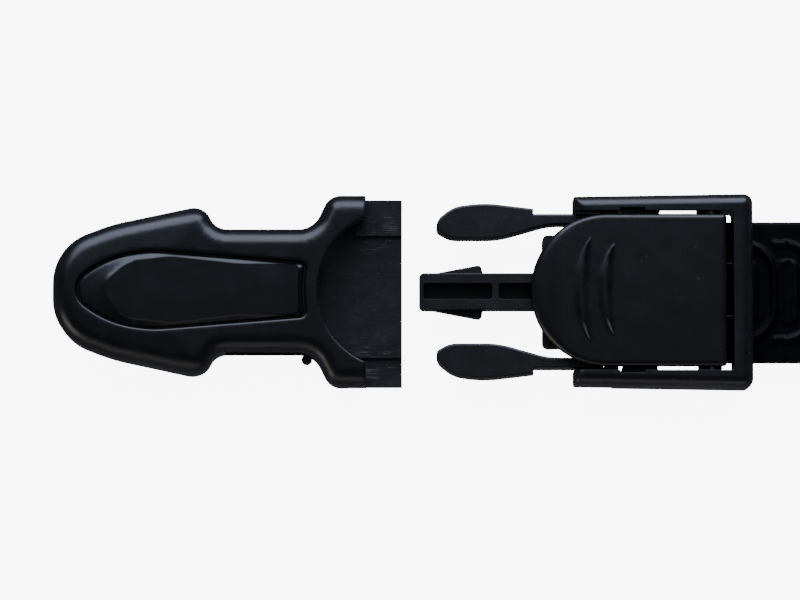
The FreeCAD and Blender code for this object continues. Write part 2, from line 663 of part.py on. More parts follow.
def make_frame():
    """U-shaped frame: two hollowed rails, a slotted cross-bar, and a saddle below the strap."""
    body = new_body("strap_frame")
    outline = new_sketch(body, "frame_outline")
    add_outline(
        outline,
        both_sides(
            [
                ("frame_rear_x", "frame_rear_half", "frame_rear_radius"),
                ("frame_front_x", "frame_front_half", "frame_front_radius"),
                ("frame_front_x", "frame_inner_half", None),
                ("bar_front_x", "frame_inner_half", "0.4"),
            ]
        ),
    )
    pad(body, "frame_block", outline, "frame_top_z")
    top = number("frame_top_z")
    edge_from = number("frame_inner_half") + 1.5
    rear = number("bar_front_x") + 1.5
    dress(
        body, "Fillet", "frame_outer_edge", "frame_edge",
        lambda box: lies_at(box, top)
        and (box.XMax > rear or max(abs(box.YMin), abs(box.YMax)) > edge_from)
        and (box.XMax - box.XMin > 0.01 or box.XMin > rear),
    )  # fmt: skip

    saddle = new_sketch(body, "saddle_outline")
    add_outline(
        saddle,
        box_corners("saddle_front_x", "saddle_rear_x", "-frame_inner_half", "frame_inner_half"),
    )
    pad(body, "saddle", saddle, "window_low_z")

    bosses = new_sketch(body, "bar_boss_outline", height="window_low_z")
    for low, high in (
        ("bar_boss_half", "frame_inner_half + 1"),
        ("-frame_inner_half - 1", "-bar_boss_half"),
    ):
        add_outline(bosses, box_corners("bar_boss_front_x", "bar_boss_rear_x", low, high))
    pad(body, "bar_bosses", bosses, "window_top_z - window_low_z")

    window = new_sketch(body, "window_outline", height="window_top_z")
    add_outline(
        window,
        box_corners("bar_front_x - 1", "frame_rear_x + 1", "-window_half", "window_half"),
    )
    pocket(body, "strap_window", window, "window_top_z - window_low_z")

    relief = new_sketch(body, "relief_outline", height="relief_z")
    add_outline(
        relief,
        box_corners("frame_front_x - 1", "relief_x", "-frame_rear_half - 1", "frame_rear_half + 1"),
    )
    pocket(body, "tongue_relief", relief, "relief_z")

    hollow = new_sketch(body, "rail_hollow_outline", height="rail_lip_z")
    add_outline(
        hollow,
        box_corners(
            "rail_hollow_front_x", "rail_hollow_rear_x", "-rail_hollow_half", "rail_hollow_half",
        ),
    )  # fmt: skip
    pocket(body, "rail_hollows", hollow, "rail_lip_z")

    detents = new_sketch(body, "detent_outline", height="frame_top_z")
    add_outline(
        detents,
        box_corners(
            "detent_front_x", "detent_rear_x",
            "-frame_inner_half - detent_depth", "frame_inner_half + detent_depth",
        ),
    )  # fmt: skip
    pocket(body, "detent_notches", detents, "frame_top_z - detent_low_z")

    holes = new_sketch(body, "frame_pin_outline", "XZ_Plane")
    add_circle(holes, "chassis_pin_x", "chassis_pin_z", "chassis_pin_radius")
    add_circle(holes, "bar_x", "bar_z", "bar_radius")
    add_circle(holes, "lever_pin_x", "lever_pin_z", "lever_pin_radius")
    pocket(body, "frame_pin_holes", holes, "2 * pin_half", symmetric=True)


def make_pin(name, x, z, radius):
    """A steel pin across the frame, flush in both rails."""
    pin = cylinder(name, radius, "2 * pin_half", x, "-pin_half", z, along_y=True)
    pin.Label = name
    nodes.append(pin)


def make_release_lever():
    """Plate with a rounded nose, hinged at its rear, with a pawl that grips the strap."""
    body = new_body("release_lever")
    plate = new_sketch(body, "lever_outline", height="lever_lip_z")
    add_outline(
        plate,
        both_sides(
            [
                ("lever_rear_x", "lever_half", "0.6"),
                ("lever_nose_x", "lever_half", "lever_half - 0.05"),
            ]
        ),
    )
    pad(body, "lever_plate", plate, "lever_top_z - lever_lip_z")

    # what is cut away below the plate, behind the lip and under the heel
    below = new_sketch(body, "lever_below_outline", "XZ_Plane")
    add_outline(
        below,
        [
            ("lever_lip_x", "lever_lip_z - 1", None),
            ("lever_rear_x + 1", "lever_lip_z - 1", None),
            ("lever_rear_x + 1", "lever_heel_z", None),
            ("lever_heel_x", "lever_heel_z", None),
            ("lever_heel_x", "lever_low_z", None),
            ("lever_lip_x + 2", "lever_low_z", "1.5"),
            ("lever_lip_x", "lever_lip_z", "0.5"),
        ],
    )
    pocket(body, "lever_below", below, "3 * lever_half", symmetric=True)
    above = new_sketch(body, "lever_above_outline", "XZ_Plane")
    add_outline(
        above,
        [
            ("lever_nose_x - 1", "lever_lip_top_z", None),
            ("lever_nose_x + 1.6", "lever_lip_top_z", "3"),
            ("lever_slope_x", "lever_top_z", "4"),
            ("lever_slope_x + 4", "lever_top_z", None),
            ("lever_slope_x + 4", "lever_top_z + 1", None),
            ("lever_nose_x - 1", "lever_top_z + 1", None),
        ],
    )
    pocket(body, "lever_nose_slope", above, "3 * lever_half", symmetric=True)

    barrel = new_sketch(body, "barrel_outline", "XZ_Plane")
    add_circle(barrel, "lever_pin_x", "lever_pin_z", "barrel_radius")
    pad(body, "pin_barrel", barrel, "2 * barrel_outer_half", symmetric=True)
    bay = new_sketch(body, "spring_bay_outline", height="spring_roof_z")
    add_outline(
        bay,
        box_corners(
            "spring_bay_front_x", "lever_heel_x + 2",
            "-barrel_inner_half", "barrel_inner_half",
        ),
    )  # fmt: skip
    pocket(body, "spring_bay", bay, "spring_roof_z - lever_pin_z + barrel_radius + 1")
    bore = new_sketch(body, "lever_bore_outline", "XZ_Plane")
    add_circle(bore, "lever_pin_x", "lever_pin_z", "lever_pin_radius + lever_pin_play")
    pocket(body, "lever_bore", bore, "3 * lever_half", symmetric=True)

    pawl = new_sketch(body, "pawl_outline", height="pawl_low_z")
    add_outline(pawl, box_corners("pawl_front_x", "pawl_rear_x", "-pawl_half", "pawl_half"))
    pad(body, "pawl", pawl, "lever_low_z - pawl_low_z")
    snaps = new_sketch(body, "snap_outline", height="snap_low_z")
    reach = "lever_half + snap_out"
    add_outline(snaps, box_corners("snap_front_x", "snap_rear_x", f"-({reach})", reach, "0.3"))
    pad(body, "snap_bumps", snaps, "snap_top_z - snap_low_z")

    ribs = new_sketch(body, "grip_outline", height="lever_top_z - grip_sink")
    for i in range(2):
        add_crescent(
            ribs, f"grip_front_x + {i} * grip_pitch", f"grip_half - {i} * grip_step",
            "grip_sweep", "grip_width",
        )  # fmt: skip
    pad(body, "grip_ribs", ribs, "grip_height + grip_sink")


def make_spring(side):
    """Torsion spring on the lever's pin: outer leg under the plate, inner leg to the bar."""
    sign = -1 if SIDES[side] else 1
    radius, wire = number("coil_radius"), number("coil_wire_radius")
    length = number("coil_pitch * coil_turns")
    x, z = number("lever_pin_x"), number("lever_pin_z")
    inner = sign * number("coil_start")
    outer = inner + sign * length
    along = FreeCAD.Vector(0, 1, 0)
    helix = Part.makeHelix(number("coil_pitch"), length, radius)
    ring = Part.Wire(Part.Circle(FreeCAD.Vector(radius, 0, 0), along, wire).toShape())
    coil = Part.Wire(helix).makePipeShell([ring], True, True)
    coil.rotate(FreeCAD.Vector(), FreeCAD.Vector(0, 0, 1), 90)
    coil.rotate(FreeCAD.Vector(), FreeCAD.Vector(1, 0, 0), -90)
    coil.translate(FreeCAD.Vector(x, min(inner, outer), z))
    legs = []
    for reach, y in ((-number("coil_front_leg"), outer), (number("coil_rear_leg"), inner)):
        direction = FreeCAD.Vector(math.copysign(1, reach), 0, 0)
        start = FreeCAD.Vector(x, y, z + radius)
        legs.append(Part.makeCylinder(wire, abs(reach), start, direction))
    spring = doc.addObject("Part::Feature", f"lever_spring_{side}")
    spring.Shape = Part.makeCompound([coil, *legs])
    spring.Label = f"lever_spring_{side}"
    nodes.append(spring)


def make_strap():
    """Rubber strap doubled round the bar: heel run below, tail above with raised ribs."""
    body = new_body("strap")
    side = new_sketch(body, "strap_side", "XZ_Plane")
    outer_z = "strap_inner_z + strap_thick * (sqrt(1 + strap_slope ^ 2) + strap_slope)"
    inner_x = "wrap_x + strap_thick"
    tail_top = "(tail_low_z + strap_thick)"
    drop = "strap_thick * sqrt(1 + strap_slope ^ 2)"
    add_outline(
        side,
        [
            ("wrap_x", "strap_low_z", "wrap_radius"),
            ("heel_end_x", "strap_low_z", None),
            ("heel_end_x", "strap_low_z + strap_thick", None),
            (inner_x, "strap_low_z + strap_thick", "wrap_inner_radius"),
            (inner_x, "strap_inner_z", "wrap_inner_radius"),
            (
                f"{inner_x} + (strap_inner_z - tail_low_z) / strap_slope",
                "tail_low_z",
                "strap_bend_radius",
            ),
            ("tail_end_x", "tail_low_z", None),
            ("tail_end_x", tail_top, None),
            (
                f"{inner_x} + (strap_inner_z + {drop} - {tail_top}) / strap_slope",
                tail_top,
                "strap_bend_radius - strap_thick",
            ),
            ("wrap_x", outer_z, "wrap_radius"),
        ],
    )
    pad(body, "strap_web", side, "2 * strap_half", symmetric=True)
    end = number("tail_end_x")
    dress(
        body, "Fillet", "tail_end_corners", "tail_corner",
        lambda box: abs(box.XMin - end) < 1e-4 and abs(box.XMax - end) < 1e-4
        and box.YMax - box.YMin < 1e-4,
    )  # fmt: skip

    arches = new_sketch(body, "arch_outline", height=tail_top)
    islands = new_sketch(body, "island_outline", height=tail_top)
    for i in range(2):
        apex = f"rib_apex_x + {i} * rib_pitch"
        root = f"{apex} - rib_length"
        add_outline(
            arches,
            [
                (root, "rib_half", None),
                (root, "rib_half - rib_width", None),
                (f"{apex} - rib_width", "rib_half - rib_width", "rib_radius - rib_width"),
                (f"{apex} - rib_width", "rib_width - rib_half", "rib_radius - rib_width"),
                (root, "rib_width - rib_half", None),
                (root, "-rib_half", None),
                (apex, "-rib_half", "rib_radius"),
                (apex, "rib_half", "rib_radius"),
            ],
        )
        add_outline(
            islands,
            [
                (root, "-island_half", None),
                (f"{root} + island_length", "-island_half", "island_radius"),
                (f"{root} + island_length", "island_half", "island_radius"),
                (root, "island_half", None),
            ],
        )
    pad(body, "strap_arches", arches, "rib_height")
    pad(body, "strap_islands", islands, "rib_height")


# ---- build, check and write -----------------------------------------------------------------


def check_document():
    """Stops if any object failed, or if a node's shape is empty or invalid."""
    for thing in doc.Objects:
        if "Invalid" in thing.State or "Error" in thing.State:
            raise ValueError(f"{thing.Name} failed: {thing.State}")
    for node in nodes:
        if node.Shape.isNull() or not node.Shape.isValid() or not node.Shape.Solids:
            raise ValueError(f"{node.Label} has no valid solid")


def write_parts():
    """Writes one STEP file for each node."""
    os.makedirs("parts", exist_ok=True)
    for node in nodes:
        node.Shape.exportStep(f"parts/{node.Label}.step")
        box = node.Shape.BoundBox
        print(
            f"{node.Label:18s} {len(node.Shape.Solids)} solids {node.Shape.Volume:9.2f} mm3 "
            f"x {box.XMin:.2f}..{box.XMax:.2f} y {box.YMin:.2f}..{box.YMax:.2f} "
            f"z {box.ZMin:.2f}..{box.ZMax:.2f}"
        )


make_receiver_base()
make_receiver_cover()
make_cover_inlay()
make_stud_clip()
make_base_screws()
make_chassis()
for each_side in SIDES:
    make_latch_arm(each_side)
make_frame()
make_pin("chassis_pin", "chassis_pin_x", "chassis_pin_z", "chassis_pin_radius")
make_pin("strap_bar", "bar_x", "bar_z", "bar_radius")
make_pin("lever_pin", "lever_pin_x", "lever_pin_z", "lever_pin_radius")
make_release_lever()
for each_side in SIDES:
    make_spring(each_side)
make_strap()
doc.recompute()
check_document()
write_parts()
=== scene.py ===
import math

import bmesh
import bpy
import numpy as np
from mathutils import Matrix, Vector
from mathutils.geometry import delaunay_2d_cdt


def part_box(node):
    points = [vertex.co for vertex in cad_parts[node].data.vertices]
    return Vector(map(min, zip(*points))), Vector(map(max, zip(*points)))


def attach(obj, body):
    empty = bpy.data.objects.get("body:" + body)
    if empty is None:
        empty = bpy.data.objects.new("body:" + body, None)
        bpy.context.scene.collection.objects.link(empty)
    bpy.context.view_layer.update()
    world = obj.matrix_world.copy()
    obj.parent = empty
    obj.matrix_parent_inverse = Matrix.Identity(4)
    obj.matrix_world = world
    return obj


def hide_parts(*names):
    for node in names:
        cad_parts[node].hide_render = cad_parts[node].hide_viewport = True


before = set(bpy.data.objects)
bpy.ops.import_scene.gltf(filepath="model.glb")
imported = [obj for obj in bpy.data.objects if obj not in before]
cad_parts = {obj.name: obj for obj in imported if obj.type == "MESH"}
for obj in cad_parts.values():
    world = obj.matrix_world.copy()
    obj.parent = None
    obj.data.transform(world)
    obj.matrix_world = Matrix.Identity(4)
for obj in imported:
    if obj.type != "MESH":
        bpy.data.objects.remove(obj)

# A quick-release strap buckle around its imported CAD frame. Shapes are worked out in
# millimetres and turned into metres where a mesh is made: +X runs from the receiver's nose
# to the strap, +Z is up, and the buckle rests on z = 0.

MM = 0.001
SMOOTH_ANGLE = math.radians(38)
ROUNDED_ANGLE = math.radians(30)  # CAD edges that turn more than this are eased
MERGED_ANGLE = math.radians(0.3)
WELD_DISTANCE = 1e-7
BEVEL_SEGMENTS = 2
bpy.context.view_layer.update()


class Extent:
    """The box of a CAD node, in millimetres."""

    def __init__(self, node):
        low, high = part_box(node)
        self.x0, self.y0, self.z0 = (value / MM for value in low)
        self.x1, self.y1, self.z1 = (value / MM for value in high)


COVER = Extent("receiver_cover")
INLAY = Extent("cover_inlay")
LEVER = Extent("release_lever")
STRAP = Extent("strap")


# ---- outlines in the XY plane ---------------------------------------------------------------


def spaced(points, step, closed=True):
    """The same line with points no further apart than step."""
    result = []
    count = len(points)
    for i in range(count if closed else count - 1):
        start, end = points[i], points[(i + 1) % count]
        parts = max(1, math.ceil(np.linalg.norm(end - start) / step))
        result += [start + (end - start) * j / parts for j in range(parts)]
    if not closed:
        result.append(points[-1])
    return np.array(result)


def rounded(corners, step=0.4, closed=True):
    """Points along straight sides that meet in round corners of (x, y, radius)."""
    places = [np.array(corner[:2], float) for corner in corners]
    points = []
    for i, (place, corner) in enumerate(zip(places, corners)):
        radius = corner[2] if len(corner) > 2 else 0.0
        open_end = not closed and i in (0, len(corners) - 1)
        if radius == 0.0 or open_end:
            points.append(place)
            continue
        inward = place - places[i - 1]
        outward = places[(i + 1) % len(places)] - place
        inward, outward = inward / np.linalg.norm(inward), outward / np.linalg.norm(outward)
        turn = math.atan2(inward[0] * outward[1] - inward[1] * outward[0], inward @ outward)
        side = math.copysign(1.0, turn)
        start = place - inward * radius * math.tan(abs(turn) / 2)
        centre = start + side * radius * np.array([-inward[1], inward[0]])
        parts = max(3, math.ceil(abs(turn) * radius / step))
        for j in range(parts + 1):
            angle = turn * j / parts
            arm = start - centre
            points.append(
                centre + np.array([
                    arm[0] * math.cos(angle) - arm[1] * math.sin(angle),
                    arm[0] * math.sin(angle) + arm[1] * math.cos(angle),
                ])
            )
    return spaced(np.array(points), step, closed)


def rectangle(x0, x1, half, step=0.4):
    """A rectangle from x0 to x1, symmetric about the XZ plane."""
    return rounded([(x0, -half), (x1, -half), (x1, half), (x0, half)], step)


def mirrored(half):
    """A symmetric outline, from the corners of its +Y half listed from rear to front."""
    return list(half) + [(c[0], -c[1], *c[2:]) for c in reversed(half)]


def distance(points, line, closed=True):
    """How far each point lies from a line."""
    ends = np.roll(line, -1, axis=0) if closed else line[1:]
    starts = line if closed else line[:-1]
    best = np.full(len(points), np.inf)
    for start, end in zip(starts, ends):
        along = end - start
        length = along @ along
        if length == 0.0:
            continue
        t = np.clip((points - start) @ along / length, 0.0, 1.0)
        gap = points - start - t[:, None] * along
        best = np.minimum(best, np.einsum("ij,ij->i", gap, gap))
    return np.sqrt(best)


def inside(points, loop):
    """Which points lie inside a closed line."""
    result = np.zeros(len(points), bool)
    x, y = points[:, 0], points[:, 1]
    for (x0, y0), (x1, y1) in zip(loop, np.roll(loop, -1, axis=0)):
        if y0 == y1:
            continue
        crosses = (y0 > y) != (y1 > y)
        result ^= crosses & (x < (x1 - x0) * (y - y0) / (y1 - y0) + x0)
    return result


def signed_distance(points, loop):
    """Distance to a closed line, negative inside it."""
    return distance(points, loop) * np.where(inside(points, loop), -1.0, 1.0)


def offsets(line, insets, closed=True):
    """Runs of points along the line moved to its left by each inset, without overlaps."""
    ahead, behind = np.roll(line, -1, axis=0), np.roll(line, 1, axis=0)
    if not closed:
        ahead[-1], behind[0] = line[-1], line[0]
    tangent = ahead - behind
    tangent /= np.linalg.norm(tangent, axis=1)[:, None]
    normal = np.stack([-tangent[:, 1], tangent[:, 0]], axis=1)
    runs = []
    for inset in insets:
        moved = line + normal * inset
        kept = distance(moved, line, closed) > abs(inset) * 0.97 - 0.01
        run = []
        for i in range(len(moved) + (1 if closed else 0)):
            if kept[i % len(moved)]:
                run.append(moved[i % len(moved)])
            elif len(run) > 1:
                runs.append(np.array(run))
                run = []
            else:
                run = []
        if len(run) > 1:
            runs.append(np.array(run))
    return runs


def step_up(value, low, high):
    """0 below low and 1 above high, smooth between them."""
    t = np.clip((value - low) / (high - low), 0.0, 1.0)
    return t * t * (3.0 - 2.0 * t)


def edge_drop(depth, width, height):
    """How far a rounded edge falls below the face, at a depth inside the outline."""
    t = np.clip(1.0 - depth / width, 0.0, 1.0)
    return height * (1.0 - np.sqrt(1.0 - t * t))


def edge_insets(width, parts=7):
    """Insets at even turns of a rounded edge."""
    return [width * (1.0 - math.cos(math.pi / 2 * i / parts)) for i in range(1, parts + 1)]


# ---- meshes ---------------------------------------------------------------------------------


def shade(mesh):
    """Smooth shading with the real corners kept sharp."""
    mesh.polygons.foreach_set("use_smooth", [True] * len(mesh.polygons))
    mesh.set_sharp_from_angle(angle=SMOOTH_ANGLE)
    mesh.update()


def mesh_object(name, points, faces):
    """An object in metres from points in millimetres."""
    mesh = bpy.data.meshes.new(name)
    mesh.from_pydata([tuple(point) for point in np.asarray(points) * MM], [], faces)
    mesh.validate()
    shade(mesh)
    piece = bpy.data.objects.new(name, mesh)
    bpy.context.scene.collection.objects.link(piece)
    return piece


def relief(name, footprint, creases, spacing, top, under):
    """A closed solid over a footprint, with height functions for its top and underside."""
    low, high = footprint.min(axis=0), footprint.max(axis=0)
    rows = np.arange(low[1] + spacing / 2, high[1], spacing * 0.87)
    columns = np.arange(low[0] + spacing / 2, high[0], spacing)
    grid = np.array([(x + (i % 2) * spacing / 2, y) for i, y in enumerate(rows) for x in columns])
    grid = grid[inside(grid, footprint)]
    for line, closed in [(footprint, True)] + [(crease, False) for crease in creases]:
        grid = grid[distance(grid, line, closed) > spacing * 0.45]
    points, edges = [Vector(p) for p in footprint], []
    edges += [(i, (i + 1) % len(footprint)) for i in range(len(footprint))]
    for crease in creases:
        first = len(points)
        points += [Vector(p) for p in crease]
        edges += [(first + i, first + i + 1) for i in range(len(crease) - 1)]
    points += [Vector(p) for p in grid]
    found, _, faces, *_ = delaunay_2d_cdt(points, edges, [], 0, 1e-4)
    flat = np.array([tuple(p) for p in found])
    centres = np.array([flat[list(face)].mean(axis=0) for face in faces])
    faces = [face for face, kept in zip(faces, inside(centres, footprint)) if kept]
    used = sorted({i for face in faces for i in face})
    index = {old: new for new, old in enumerate(used)}
    flat = flat[used]
    faces = [[index[i] for i in face] for face in faces]
    count = len(flat)
    upper = np.column_stack([flat, top(flat)])
    lower = np.column_stack([flat, under(flat)])
    owned = {(a, b) for face in faces for a, b in zip(face, face[1:] + face[:1])}
    walls = [(a, a + count, b + count, b) for a, b in owned if (b, a) not in owned]
    floor = [[i + count for i in reversed(face)] for face in faces]
    return mesh_object(name, np.vstack([upper, lower]), faces + floor + walls)


def prism(name, loop, low, high):
    """A flat-ended solid with a closed line as its outline."""
    count = len(loop)
    points = [(x, y, z) for z in (low, high) for x, y in loop]
    walls = [(i, (i + 1) % count, (i + 1) % count + count, i + count) for i in range(count)]
    caps = [list(reversed(range(count))), list(range(count, 2 * count))]
    return mesh_object(name, points, walls + caps)


def applied(piece):
    """Turns a piece's modifiers into its mesh."""
    evaluated = piece.evaluated_get(bpy.context.evaluated_depsgraph_get())
    mesh = bpy.data.meshes.new_from_object(evaluated)
    piece.modifiers.clear()
    piece.data = mesh
    return piece


def weighed(piece):
    """Lets the large faces lead the shading, so that they stay flat beside rounded edges."""
    modifier = piece.modifiers.new("flat faces", "WEIGHTED_NORMAL")
    modifier.keep_sharp = True
    return applied(piece)


def combine(piece, other, operation):
    """Cuts the other solid from the piece, or joins it on, and removes it."""
    modifier = piece.modifiers.new(operation.lower(), "BOOLEAN")
    modifier.object, modifier.operation, modifier.solver = other, operation, "EXACT"
    applied(piece)
    bpy.data.objects.remove(other)
    shade(piece.data)
    return piece


def softened(node, width):
    """A copy of a CAD node whose sharp edges are rounded off as a moulding's are."""
    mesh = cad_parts[node].data.copy()
    work = bmesh.new()
    work.from_mesh(mesh)
    bmesh.ops.remove_doubles(work, verts=work.verts, dist=WELD_DISTANCE)
    bmesh.ops.dissolve_limit(
        work, angle_limit=MERGED_ANGLE, verts=work.verts, edges=work.edges
    )
    sharp = [
        edge for edge in work.edges
        if len(edge.link_faces) == 2 and edge.calc_face_angle() > ROUNDED_ANGLE
    ]
    bmesh.ops.bevel(
        work, geom=sharp, offset=width * MM, segments=BEVEL_SEGMENTS, profile=0.5,
        affect="EDGES", clamp_overlap=True,
    )
    work.to_mesh(mesh)
    work.free()
    piece = bpy.data.objects.new(node + "_moulding", mesh)
    bpy.context.scene.collection.objects.link(piece)
    shade(mesh)
    return weighed(piece)


def finish_piece(piece, body, slot, material, *nodes):
    """Rides a piece on its body with its material, and hides the given CAD nodes."""
    piece.data.materials.clear()
    piece.data.materials.append(material)
    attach(piece, body)
    if nodes:
        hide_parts(*nodes)
    return piece


# ---- materials ------------------------------------------------------------------------------


MIX_FIRST, MIX_SECOND, MIX_RESULT = 6, 7, 2  # the mix node's colour sockets


class Nodes:
    """Short calls for building a material's node tree."""

    def __init__(self, name):
        self.material = bpy.data.materials.new(name)
        self.material.use_nodes = True
        self.tree = self.material.node_tree
        self.shader = self.tree.nodes["Principled BSDF"]
        self.place = self.tree.nodes.new("ShaderNodeTexCoord").outputs["Object"]

    def link(self, output, target):
        self.tree.links.new(output, target)

    def stretched(self, scale):
        """Object coordinates scaled differently along each axis."""
        mapping = self.tree.nodes.new("ShaderNodeMapping")
        mapping.inputs["Scale"].default_value = scale
        self.link(self.place, mapping.inputs["Vector"])
        return mapping.outputs["Vector"]

    def noise(self, scale, detail=3.0, place=None, roughness=0.5):
        node = self.tree.nodes.new("ShaderNodeTexNoise")
        node.inputs["Scale"].default_value = scale
        node.inputs["Detail"].default_value = detail
        node.inputs["Roughness"].default_value = roughness
        self.link(place or self.place, node.inputs["Vector"])
        return node.outputs["Fac"]

    def span(self, value, source, target):
        """Maps one range of a value onto another."""
        node = self.tree.nodes.new("ShaderNodeMapRange")
        node.inputs["From Min"].default_value, node.inputs["From Max"].default_value = source
        node.inputs["To Min"].default_value, node.inputs["To Max"].default_value = target
        self.link(value, node.inputs["Value"])
        return node.outputs["Result"]

    def maths(self, operation, first, second):
        node = self.tree.nodes.new("ShaderNodeMath")
        node.operation = operation
        for i, value in enumerate((first, second)):
            if isinstance(value, (int, float)):
                node.inputs[i].default_value = value
            else:
                self.link(value, node.inputs[i])
        return node.outputs["Value"]

    def colour_mix(self, factor, first, second):
        node = self.tree.nodes.new("ShaderNodeMix")
        node.data_type = "RGBA"
        self.link(factor, node.inputs["Factor"])
        for socket, colour in ((MIX_FIRST, first), (MIX_SECOND, second)):
            if isinstance(colour, tuple):
                node.inputs[socket].default_value = (*colour, 1.0)
            else:
                self.link(colour, node.inputs[socket])
        return node.outputs[MIX_RESULT]

    def near(self, place, radius):
        """1 at a place in the XY plane, fading to 0 at a radius, broken up by noise."""
        flat = self.stretched((1.0, 1.0, 0.0))
        node = self.tree.nodes.new("ShaderNodeVectorMath")
        node.operation = "DISTANCE"
        self.link(flat, node.inputs[0])
        node.inputs[1].default_value = (place[0] * MM, place[1] * MM, 0.0)
        fade = self.span(node.outputs["Value"], (radius * MM, 0.3 * radius * MM), (0.0, 1.0))
        return self.maths("MULTIPLY", fade, self.span(self.noise(420), (0.4, 0.6), (0.0, 1.0)))

    def bump(self, height, strength, distance_mm, before=None):
        node = self.tree.nodes.new("ShaderNodeBump")
        node.inputs["Strength"].default_value = strength
        node.inputs["Distance"].default_value = distance_mm * MM
        self.link(height, node.inputs["Height"])
        if before:
            self.link(before, node.inputs["Normal"])
        return node.outputs["Normal"]

    def edge_wear(self):
        """1 along worn convex edges and 0 elsewhere, broken up by noise."""
        geometry = self.tree.nodes.new("ShaderNodeNewGeometry")
        edges = self.span(geometry.outputs["Pointiness"], (0.53, 0.62), (0.0, 1.0))
        return self.maths("MULTIPLY", edges, self.span(self.noise(900), (0.35, 0.75), (0.0, 1.0)))


def plastic(name, dark, light, gloss, grain_size, grain, specks=0.0, scuffs=()):
    """Moulded plastic: mottled colour, grained surface, worn edges, dust and scuffed spots."""
    nodes = Nodes(name)
    mottle = nodes.span(nodes.noise(90, 4.0), (0.3, 0.7), (0.0, 1.0))
    colour = nodes.colour_mix(mottle, dark, light)
    rough = nodes.span(nodes.noise(260, 5.0), (0.25, 0.75), gloss)
    rough = nodes.maths("ADD", rough, nodes.maths("MULTIPLY", nodes.edge_wear(), 0.1))
    normal = nodes.bump(nodes.noise(1 / (grain_size * MM), 2.0), grain, 0.04)
    if specks:
        dust = nodes.span(nodes.noise(2300, 0.0), (0.81, 0.85), (0.0, specks))
        colour = nodes.colour_mix(dust, colour, DUST)
    if scuffs:
        along = nodes.noise(1.0, 2.0, nodes.stretched((300, 6500, 6500)), 0.7)
        across = nodes.noise(1.0, 2.0, nodes.stretched((3800, 700, 3800)), 0.7)
        lines = nodes.maths(
            "MAXIMUM", nodes.span(along, (0.56, 0.7), (0.0, 1.0)),
            nodes.span(across, (0.6, 0.72), (0.0, 0.8)),
        )
        spots = 0.12
        for place, radius in scuffs:
            spots = nodes.maths("MAXIMUM", nodes.near(place, radius), spots)
        marks = nodes.maths("MULTIPLY", lines, spots)
        colour = nodes.colour_mix(nodes.maths("MULTIPLY", marks, 0.3), colour, DUST)
        rough = nodes.maths("ADD", rough, nodes.maths("MULTIPLY", marks, 0.25))
        normal = nodes.bump(marks, 0.7, 0.06, normal)
    nodes.link(colour, nodes.shader.inputs["Base Color"])
    nodes.link(rough, nodes.shader.inputs["Roughness"])
    nodes.link(normal, nodes.shader.inputs["Normal"])
    return nodes.material


def rubber(name):
    """Soft black rubber: dull, with a fine bloom and a faint pebble."""
    nodes = Nodes(name)
    bloom = nodes.span(nodes.noise(140, 6.0), (0.35, 0.7), (0.0, 1.0))
    nodes.link(
        nodes.colour_mix(bloom, (0.0008, 0.0007, 0.0011), (0.0026, 0.0023, 0.0032)),
        nodes.shader.inputs["Base Color"],
    )
    nodes.link(nodes.span(nodes.noise(420, 4.0), (0.3, 0.7), (0.34, 0.46)),
               nodes.shader.inputs["Roughness"])
    nodes.shader.inputs["Specular IOR Level"].default_value = 0.08
    pebble = nodes.bump(nodes.noise(2600, 2.0), 0.35, 0.03)
    nodes.link(nodes.bump(nodes.noise(500, 3.0), 0.2, 0.08, pebble), nodes.shader.inputs["Normal"])
    return nodes.material


def steel(name, light, dark, gloss):
    """Drawn steel with fine lines along Y."""
    nodes = Nodes(name)
    lines = nodes.noise(1.0, 3.0, nodes.stretched((5200, 120, 5200)), 0.6)
    nodes.link(nodes.colour_mix(nodes.span(lines, (0.3, 0.7), (0.0, 1.0)), light, dark),
               nodes.shader.inputs["Base Color"])
    nodes.link(nodes.span(lines, (0.3, 0.7), gloss), nodes.shader.inputs["Roughness"])
    nodes.link(nodes.bump(lines, 0.25, 0.01), nodes.shader.inputs["Normal"])
    nodes.shader.inputs["Metallic"].default_value = 1.0
    return nodes.material


DUST = (0.2, 0.2, 0.21)
SHELL = plastic("satin shell", (0.0022, 0.0022, 0.003), (0.004, 0.004, 0.005),
                (0.27, 0.35), 0.12, 0.05, specks=0.06)
LEVER_SKIN = plastic("satin lever", (0.0028, 0.0027, 0.0034), (0.0048, 0.0046, 0.0054),
                     (0.27, 0.35), 0.1, 0.08, specks=0.12)
RAILS = plastic("grained frame", (0.0032, 0.0032, 0.0042), (0.0058, 0.0058, 0.0072),
                (0.26, 0.36), 0.22, 0.4, specks=0.1)
MATTE = plastic("matte insert", (0.0036, 0.0036, 0.004), (0.0075, 0.0075, 0.0082),
                (0.31, 0.41), 0.22, 0.6, specks=0.12)
SCUFFED = plastic("scuffed base", (0.0036, 0.004, 0.0046), (0.0068, 0.0072, 0.0082),
                  (0.3, 0.42), 0.2, 0.16, specks=0.2,
                  scuffs=(((43.6, -11.8), 5.0), ((43.0, 10.4), 4.0), ((45.5, 11.4), 3.5)))
RUBBER = rubber("strap rubber")
PIN_STEEL = steel("pin steel", (0.3, 0.3, 0.31), (0.2, 0.2, 0.21), (0.24, 0.36))
WIRE_STEEL = steel("spring steel", (0.02, 0.02, 0.022), (0.012, 0.012, 0.013), (0.32, 0.44))


# ---- receiver -------------------------------------------------------------------------------

RIM_WIDTH = 3.1
RIM_HEIGHT = 2.9
ARC_RADIUS = 14.0
ARC_X = COVER.x1 + 5.45
CEILING_Z = COVER.z0 + 6.0
GROOVE = 0.5
WAIST_INSET = 6.05
RECESS_DEPTH = 1.05

